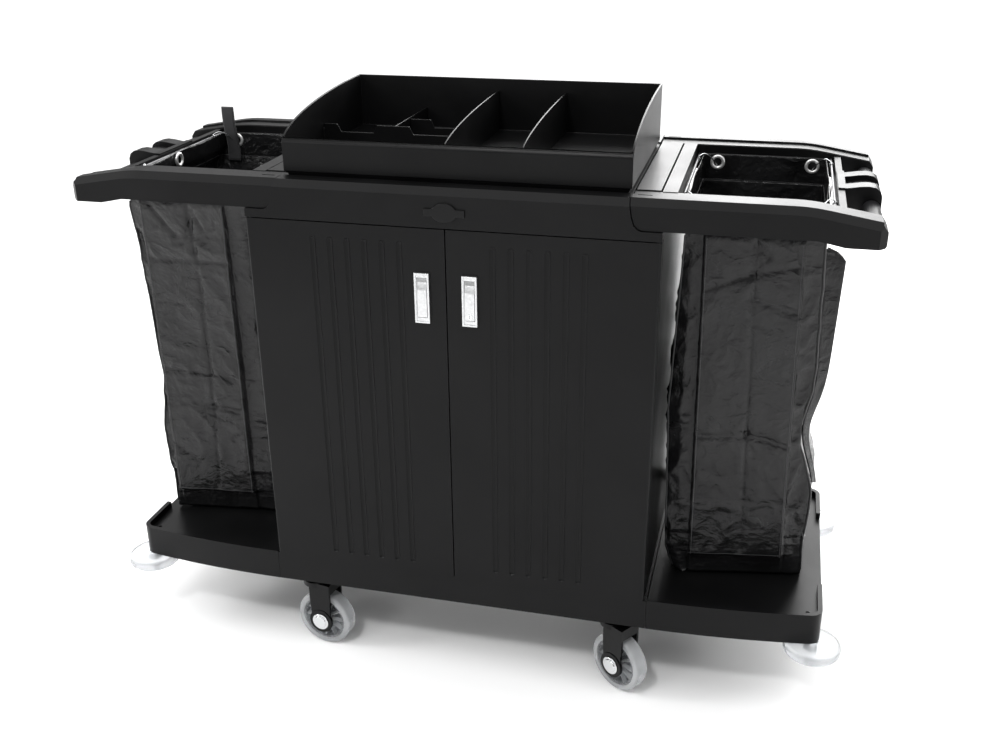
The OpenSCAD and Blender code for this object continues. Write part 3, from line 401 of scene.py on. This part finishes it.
def bag_outline(bag, z):
    """The bag's corners at a height: place outward and across, columns to the next, wall, looseness."""
    drop = min(1.0, max(0.0, (hem_z - z) / (hem_z - foot_z)))

    def at(pair):
        return pair[0] + (pair[1] - pair[0]) * (1.0 - (1.0 - drop) ** bag["ease"])

    slack = math.sin(math.pi * min(1.0, drop * 1.15)) ** 0.7 if drop < 0.87 else 0.55
    slack *= min(1.0, max(0.0, (hem_z + 0.004 - z) / 0.05))
    inner, outer, back = at(bag["inner"]), at(bag["outer"]), at(bag["back"])
    outer += bag["flare"] * min(1.0, max(0.0, (0.985 - z) / 0.035))
    near, far = at(bag["panel"][0]), at(bag["panel"][1])
    tuck = 0.0 if z > panel_foot_z else 0.011 + 0.05 * (panel_foot_z - z)
    proud = -0.0035 * min(1.0, max(0.0, (hem_z - z) / 0.01))

    def front(x):
        blend_in = (x - inner) / (outer - inner)
        return at(bag["front"][0]) * (1.0 - blend_in) + at(bag["front"][1]) * blend_in

    deep = 0.003 + 0.011 * slack
    middle = 0.5 * (near + far)
    inner -= bag["belly"] * min(1.0, drop / 0.5) * math.sqrt(min(1.0, (1.0 - drop) / 0.08))
    inner_fold, outer_fold = inner + 0.5 * (near - inner), outer - 0.5 * (outer - far)
    cave = 0.008 * math.exp(-((z - 0.42) / 0.07) ** 2) - bag["dent"] * math.exp(-((z - 0.56) / 0.07) ** 2)
    return (
        (inner + 0.003, front(inner) + 0.004 + 0.020 * slack, 7, "front", 1.0),
        (inner_fold, front(inner_fold) + 0.004 + 0.006 * slack, 7, "front", 1.0),
        (near - 0.0015, front(near) + 0.7 * deep + tuck * 0.6, 1, "front", 0.3),
        (near, front(near) + proud + tuck, 30, "panel", 0.42),
        (middle, front(middle) + proud + tuck + 0.001, 30, "panel", 0.42),
        (far, front(far) + proud + tuck, 1, "panel", 0.2),
        (far + 0.0012, front(far) + 0.006 * slack + tuck * 0.6, 5, "front", 1.0),
        (outer_fold, front(outer_fold) + deep * 0.9, 5, "front", 1.0),
        (outer - 0.003 + cave, front(outer) + 0.004 + 0.012 * slack, 14, "outer", 0.4),
        (outer + 0.004 * slack + cave, 0.3 * front(outer) + 0.3 * back, 14, "outer", 0.8),
        (outer - 0.003 + 0.5 * cave, back - 0.004 - 0.008 * slack, 5, "back", 0.9),
        (outer_fold, back - 0.7 * deep, 12, "back", 0.7),
        (middle, back + 0.002 * slack, 12, "back", 0.7),
        (inner_fold, back - 0.7 * deep, 5, "back", 0.9),
        (inner + 0.003, back - 0.004 - 0.008 * slack, 13, "inner", 0.8),
        (inner - 0.002 * slack, 0.3 * front(inner) + 0.3 * back, 13, "inner", 0.8),
    )


# The way that each wall faces, outward and across.
away = {"front": (0.0, -1.0), "panel": (0.0, -1.0), "outer": (1.0, 0.0),
        "back": (0.0, 1.0), "inner": (-1.0, 0.0)}


def bag_point(bag, column, z, lift=0.0):
    """A point on the bag's cloth at a column, which may lie between two, and a height."""
    corners = bag_outline(bag, z)
    k = 0
    while column >= corners[k][2] and k < len(corners) - 1:
        column -= corners[k][2]
        k += 1
    x0, y0, count, wall, loose = corners[k]
    x1, y1, _, _, next_loose = corners[(k + 1) % len(corners)]
    share = min(1.0, column / count)
    x, y = x0 + (x1 - x0) * share, y0 + (y1 - y0) * share
    loose += (next_loose - loose) * share
    calm = min(1.0, max(0.12, (hem_z + 0.01 - z) / 0.09)) * min(1.0, max(0.35, (z - foot_z) / 0.06))
    spot = Vector((x + y * 0.9, y - x * 0.6, z * 0.62)) + Vector((bag["seed"], 0.0, 0.0))
    slant = Vector((spot.x + spot.z * 1.1, spot.y, spot.z * 1.5 - spot.x))
    push = 0.006 * noise.noise(spot * 7.0) + 0.0070 * (crest(slant * 11.0) - 0.4)
    push += 0.0018 * (crest(slant * 27.0) - 0.4)
    push *= loose * calm
    for fold in pack_folds:
        wander = 0.004 * noise.noise(Vector((spot.x * 6.0, spot.y * 6.0, fold * 9.0)))
        push -= 0.0016 * math.exp(-abs(z - fold - wander) / 0.0035) * (0.4 + loose)
    if wall == "panel" and z > panel_foot_z:
        push -= fold_depth(x, z, bag["folds"])
    if z > hem_z:
        push += cloth_t
    push += lift
    x += away[wall][0] * push
    y += away[wall][1] * push
    high = max(0.0, (z - 0.93) / (mouth_z - 0.93))
    sag = 0.0035 * high * math.sin(math.pi * min(1.0, abs(y) / 0.2)) ** 2
    return Vector((bag["out"] * x, y, z - sag))


vinyl_cloth, nodes, links, shader = finish_named("vinyl_cloth", Specular_IOR_Level=0.3)
along_cloth = nodes.new("ShaderNodeUVMap")
along_cloth.uv_map = "cloth"
weave = nodes.new("ShaderNodeTexBrick")
weave.inputs["Scale"].default_value = 420.0
weave.inputs["Mortar Size"].default_value = 0.03
weave.inputs["Mortar Smooth"].default_value = 1.0
links.new(along_cloth.outputs["UV"], weave.inputs["Vector"])
crumple = grain(nodes, 22.0, 4.0, distortion=0.3)
off_middle = nodes.new("ShaderNodeMath")
off_middle.operation = "SUBTRACT"
off_middle.inputs[1].default_value = 0.5
links.new(crumple.outputs["Fac"], off_middle.inputs[0])
ridged = nodes.new("ShaderNodeMath")
ridged.operation = "ABSOLUTE"
links.new(off_middle.outputs["Value"], ridged.inputs[0])
mottle = grain(nodes, 9.0, 4.0, distortion=0.5)
cloth_colour = tint(nodes, mottle.outputs["Fac"], (0.004, 0.004, 0.0042), (0.009, 0.009, 0.0095))
links.new(cloth_colour, shader.inputs["Base Color"])
links.new(spread(nodes, mottle.outputs["Fac"], 0.13, 0.28), shader.inputs["Roughness"])
creased = relief(nodes, ridged.outputs["Value"], -0.009)
links.new(relief(nodes, weave.outputs["Fac"], -0.00006, creased), shader.inputs["Normal"])

cord_cloth, nodes, links, shader = finish_named(
    "cord_cloth", Base_Color=(0.012, 0.012, 0.0125, 1.0), Specular_IOR_Level=0.45)
rubbed = grain(nodes, 150.0, 3.0)
links.new(spread(nodes, rubbed.outputs["Fac"], 0.28, 0.42), shader.inputs["Roughness"])
links.new(relief(nodes, rubbed.outputs["Fac"], 0.0004), shader.inputs["Normal"])


def bag_heights():
    """The heights of the bag's rows, closer together at the panel's foot and the hem line."""
    steps = 168
    rows = [foot_z + (mouth_z - foot_z) * i / steps for i in range(steps + 1)]
    rows += [panel_foot_z - 0.0015, panel_foot_z - 0.0003, panel_foot_z + 0.0008]
    rows += [hem_z - 0.0012, hem_z + 0.0004]
    return sorted(rows)


def bag_columns(bag):
    """The number of columns round the bag's outline."""
    return sum(corner[2] for corner in bag_outline(bag, mouth_z))


def cloth_grain(bm, width, length):
    """Lays the cloth's own width and length, in metres, along a grid that is one unit square."""
    cloth = bm.loops.layers.uv.new("cloth")
    for face in bm.faces:
        for loop in face.loops:
            loop[cloth].uv = ((loop.vert.co.x + 0.5) * width, (loop.vert.co.y + 0.5) * length)


def thicken(sheet, thickness, offset=0.0):
    """Gives a sheet of cloth its thickness, to both sides or to one."""
    wall = sheet.modifiers.new("cloth_thickness", "SOLIDIFY")
    wall.thickness = thickness
    wall.offset = offset
    return sheet


def sewn_bag(name, bag):
    """The bag's shell: a grid laid round the outline, joined at its ends and closed at the foot."""
    rows = bag_heights()
    columns = bag_columns(bag)
    bm = bmesh.new()
    bmesh.ops.create_grid(bm, x_segments=columns, y_segments=len(rows) - 1, size=0.5)
    cloth_grain(bm, bag_girth, mouth_z - foot_z)
    for vert in bm.verts:
        column = round((vert.co.x + 0.5) * columns) % columns
        row = round((vert.co.y + 0.5) * (len(rows) - 1))
        vert.co = bag_point(bag, column, rows[row])
    bmesh.ops.remove_doubles(bm, verts=bm.verts, dist=1e-6)
    rim = [edge for edge in bm.edges if edge.is_boundary and max(v.co.z for v in edge.verts) < foot_z + 0.002]
    shrink = bmesh.ops.extrude_edge_only(bm, edges=rim)["geom"]
    inside = [part for part in shrink if isinstance(part, bmesh.types.BMVert)]
    centre = sum((v.co for v in inside), Vector()) / len(inside)
    tucked = 0.55
    for vert in inside:
        vert.co = centre + (vert.co - centre) * tucked
    last = [part for part in shrink if isinstance(part, bmesh.types.BMEdge)]
    bmesh.ops.contextual_create(bm, geom=last)
    for face in bm.faces:
        face.smooth = True
    bmesh.ops.recalc_face_normals(bm, faces=bm.faces)
    return thicken(made_of(name, bm), cloth_t, -1.0)


for side, bag in bags.items():
    dress(sewn_bag("linen_bag_" + side, bag), vinyl_cloth, "chassis", "coated_fabric", "bag_" + side)

# ---- Zip flaps ------------------------------------------------------------------------------------
# A doubled strip of the same cloth, sewn down the outer end of each bag over its zip.
flap_low, flap_high, flap_y = 0.45, 0.915, -0.118
flap_w, flap_l, flap_t = 0.04, 0.5, 0.0032
outer_corner = 9


def flap_edge(bag, up, out):
    """A point on a flap, from its foot to its top and from the bag's wall to its free edge."""
    z = flap_low + (flap_high - flap_low) * up
    reach = (0.008 + bag["flap"] * up ** 1.4) * math.sqrt(min(1.0, (1.0 - up) / 0.05 + 0.02))
    wall = bag_outline(bag, z)[outer_corner][0]
    wave = 0.003 * noise.noise(Vector((out * 0.8, z * 9.0, bag["seed"])))
    return Vector((bag["out"] * (wall + reach * out - 0.003), flap_y + 0.014 * out + wave,
                   z + 0.012 * out * (up - 0.5)))


for side, bag in bags.items():
    bm = bmesh.new()
    bmesh.ops.create_grid(bm, x_segments=6, y_segments=70, size=0.5)
    cloth_grain(bm, flap_w, flap_l)
    for face in bm.faces:
        face.smooth = True
    for vert in bm.verts:
        vert.co = flap_edge(bag, vert.co.y + 0.5, vert.co.x + 0.5)
    bmesh.ops.recalc_face_normals(bm, faces=bm.faces)
    flap = thicken(made_of("zip_flap_" + side, bm), flap_t)
    edge = flap.modifiers.new("rolled_edge", "BEVEL")
    edge.width = 0.0009
    edge.segments = 2
    edge.limit_method = "ANGLE"
    dress(flap, vinyl_cloth, "chassis", "coated_fabric")

# ---- Piping ---------------------------------------------------------------------------------------
# A corded edge of the same cloth finishes each flap and the bags' four upright corners.
corded_columns = (0.0, 86.0, 114.0, 151.0)


def round_line(name, radius):
    """An empty line with a round section and closed ends, for cord or wire to run along."""
    line = bpy.data.curves.new(name, "CURVE")
    line.dimensions = "3D"
    line.bevel_depth = radius
    line.bevel_resolution = 3
    line.use_fill_caps = True
    return line


flap_cords = round_line("flap_cords", 0.0019)


def corded_edge(points):
    """One run of piping through a list of points."""
    run = flap_cords.splines.new("POLY")
    run.points.add(len(points) - 1)
    for point, place in zip(run.points, points):
        point.co = (*place, 1.0)


for side, bag in bags.items():
    spans = [i / 60 for i in range(61)]
    corded_edge([flap_edge(bag, up, 1.0) for up in spans])
    heights = [foot_z + 0.012 + (hem_z - foot_z - 0.02) * up for up in spans]
    for column in corded_columns:
        corded_edge([bag_point(bag, column, z) for z in heights])
flap_piping = bpy.data.objects.new("flap_piping", flap_cords)
scene.collection.objects.link(flap_piping)
dress(flap_piping, cord_cloth, "chassis", "coated_fabric")

# ---- Stitching ------------------------------------------------------------------------------------
# Rows of polyester thread along the hem, the panel's two side seams and its foot.
thread, nodes, links, shader = finish_named(
    "thread", Base_Color=(0.03, 0.03, 0.032, 1.0), Roughness=0.55, Sheen_Weight=0.3)
ply = grain(nodes, 1400.0, 1.0)
links.new(relief(nodes, ply.outputs["Fac"], 0.0001), shader.inputs["Normal"])
stitch_pitch, stitch_l, stitch_r, on_cloth = 0.0052, 0.0034, 0.00035, 0.0002
panel_columns = (15.0, 75.0)


def stitch_row(bm, path):
    """Small raised stitches laid end to end along a path of points."""
    left = 0.0
    for start, end in zip(path, path[1:]):
        run = (end - start).length
        turn = (end - start).to_track_quat("Z", "X").to_matrix().to_4x4()
        while left < run:
            place = Matrix.Translation(start.lerp(end, left / run)) @ turn
            shape = place @ Matrix.Diagonal((stitch_r, stitch_r, stitch_l / 2, 1.0))
            bmesh.ops.create_cube(bm, size=2.0, matrix=shape)
            left += stitch_pitch
        left -= run


for side, bag in bags.items():
    bm = bmesh.new()
    columns = bag_columns(bag)
    hem_rows = ((hem_z + 0.003, on_cloth), (mouth_z - 0.006, on_cloth), (hem_z + 0.003, -cloth_t - on_cloth))
    for z, lift in hem_rows:
        stitch_row(bm, [bag_point(bag, column, z, lift) for column in range(columns + 1)])
    seam_rows = [panel_foot_z + 0.003 + 0.0095 * i for i in range(72)]
    for column in (panel_columns[0] + 1.2, panel_columns[1] - 1.2):
        stitch_row(bm, [bag_point(bag, column, z, on_cloth) for z in seam_rows])
    foot_run = [panel_columns[0] + 0.5 + 0.5 * i for i in range(118)]
    stitch_row(bm, [bag_point(bag, column, panel_foot_z + 0.005, on_cloth) for column in foot_run])
    dress(made_of("stitching_" + side, bm), thread, "chassis", "coated_fabric")

# ---- Rods, eyelets and hooks ----------------------------------------------------------------------
# Plated steel rods run beside each mouth; wire hooks join them to rolled nickel eyelets in the hem.
dull_zinc, nodes, links, shader = finish_named("dull_zinc", Metallic=1.0, Base_Color=(0.07, 0.07, 0.072, 1.0))
plating = grain(nodes, 240.0, 2.0)
links.new(spread(nodes, plating.outputs["Fac"], 0.3, 0.45), shader.inputs["Roughness"])
moulding("bag_rods", 0.0004, dull_zinc, slot="steel")


eyelet_r, eyelet_z = 0.0118, 1.0


def rolled_eyelet(bm, centre, facing):
    """A rolled ring, spun from its rounded section and turned to face a direction."""
    section = bmesh.ops.create_circle(bm, segments=12, radius=1.0, cap_ends=False)["verts"]
    for vert in section:
        vert.co = (eyelet_r + 0.0037 * vert.co.x, 0.0, 0.0030 * vert.co.y)
    edges = list({edge for vert in section for edge in vert.link_edges})
    bmesh.ops.spin(bm, geom=edges + section, cent=(0, 0, 0), axis=(0, 0, 1), dvec=(0, 0, 0),
                   angle=math.tau, steps=40, use_merge=True)
    ring = [vert for vert in bm.verts if not vert.tag]
    turn = Vector(facing).to_track_quat("Z", "Y").to_matrix().to_4x4()
    bmesh.ops.transform(bm, matrix=Matrix.Translation(centre) @ turn, verts=ring)
    for vert in bm.verts:
        vert.tag = True


bm = bmesh.new()
for bag in bags.values():
    out = bag["out"]
    for x in (0.443, 0.631):
        for way in (-1, 1):
            rolled_eyelet(bm, (out * x, way * 0.1945, eyelet_z), (0, way, 0))
    rolled_eyelet(bm, (out * 0.6605, -0.017, eyelet_z), (out, 0, 0))
bmesh.ops.remove_doubles(bm, verts=bm.verts, dist=1e-6)
bmesh.ops.recalc_face_normals(bm, faces=bm.faces)
for face in bm.faces:
    face.smooth = True
eyelets = made_of("eyelets", bm)
eyelet_nickel, nodes, links, shader = finish_named(
    "eyelet_nickel", Metallic=0.8, Base_Color=(0.86, 0.86, 0.85, 1.0))
rolled = grain(nodes, 500.0, 2.0)
links.new(spread(nodes, rolled.outputs["Fac"], 0.30, 0.42), shader.inputs["Roughness"])
dress(eyelets, eyelet_nickel, "chassis", "steel", "grommets")

hooks = round_line("hook_wires", 0.0011)
hooks.resolution_u = 6
rod_z, turn_r, turn_y = 1.014, 0.0042, 0.150
for out in (-1, 1):
    for rod_x, hole_x, lean in ((0.406, 0.443, 1), (0.666, 0.631, -1)):
        for way in (-1, 1):
            turns = [(rod_x + turn_r * math.sin(a), turn_y, rod_z + turn_r * math.cos(a))
                     for a in (math.radians(d) for d in range(0, 361, 45))]
            path = [(hole_x, 0.2000, 1.006), (hole_x, 0.2005, 0.996), (hole_x, 0.1935, 0.9925),
                    (hole_x - lean * 0.004, 0.186, 1.000), (hole_x - lean * 0.012, 0.176, 1.013),
                    (rod_x + lean * 0.012, 0.162, 1.0245), (rod_x + lean * 0.004, 0.152, 1.0215)] + turns
            line = hooks.splines.new("NURBS")
            line.points.add(len(path) - 1)
            for point, (x, y, z) in zip(line.points, path):
                point.co = (out * x, way * y, z, 1.0)
            line.order_u = 3
            line.use_endpoint_u = True
hook_wires = bpy.data.objects.new("hook_wires", hooks)
scene.collection.objects.link(hook_wires)
dress(hook_wires, bright_steel, "chassis", "steel", "bag_hooks")

# ---- Carry loop -----------------------------------------------------------------------------------
# A loop of black woven tape, folded over at the top and sewn to the left bag's far corner.
woven_tape, nodes, links, shader = finish_named(
    "woven_tape", Roughness=0.7, Sheen_Weight=0.25, Specular_IOR_Level=0.3)
along_tape = nodes.new("ShaderNodeUVMap")
along_tape.uv_map = "cloth"
ribs = nodes.new("ShaderNodeTexWave")
ribs.wave_type = "BANDS"
ribs.bands_direction = "Y"
ribs.inputs["Scale"].default_value = 190.0
ribs.inputs["Distortion"].default_value = 0.6
links.new(along_tape.outputs["UV"], ribs.inputs["Vector"])
tape_colour = tint(nodes, ribs.outputs["Fac"], (0.008, 0.008, 0.009), (0.022, 0.022, 0.024), 0.2, 0.8)
links.new(tape_colour, shader.inputs["Base Color"])
links.new(relief(nodes, ribs.outputs["Fac"], 0.0003), shader.inputs["Normal"])
tape_l, tape_w, tape_t = 0.20, 0.029, 0.0014
strap_low, strap_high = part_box("bag_strap")
bm = bmesh.new()
bmesh.ops.create_grid(bm, x_segments=8, y_segments=80, size=0.5)
cloth_grain(bm, tape_w, tape_l)
for face in bm.faces:
    face.smooth = True
loop_top, loop_low, gap = strap_high[2] - 0.001, strap_low[2] - 0.03, 0.0028
rise = loop_top - loop_low
for vert in bm.verts:
    wide, along = vert.co.x * tape_w, (vert.co.y + 0.5) * 2.0
    back = along > 1.0
    up = (2.0 - along if back else along) ** 0.8
    bow = gap * (1.0 if back else -1.0) * min(1.0, (1.0 - up) * 9.0) * (0.5 + 0.5 * math.sin(math.pi * up))
    lean = 0.010 * (up - 0.4) * (1 if up > 0.4 else 0.3)
    vert.co = (strap_low[0] + tape_w / 2 + wide * (1.0 - 0.1 * math.sin(math.pi * up)) - lean + 0.004,
               strap_high[1] - 0.004 + bow + 0.0025 * math.sin(7.0 * up), loop_low + rise * up)
bmesh.ops.recalc_face_normals(bm, faces=bm.faces)
carry_loop = thicken(made_of("carry_loop", bm), tape_t)
dress(carry_loop, woven_tape, "chassis", "webbing", "bag_strap")
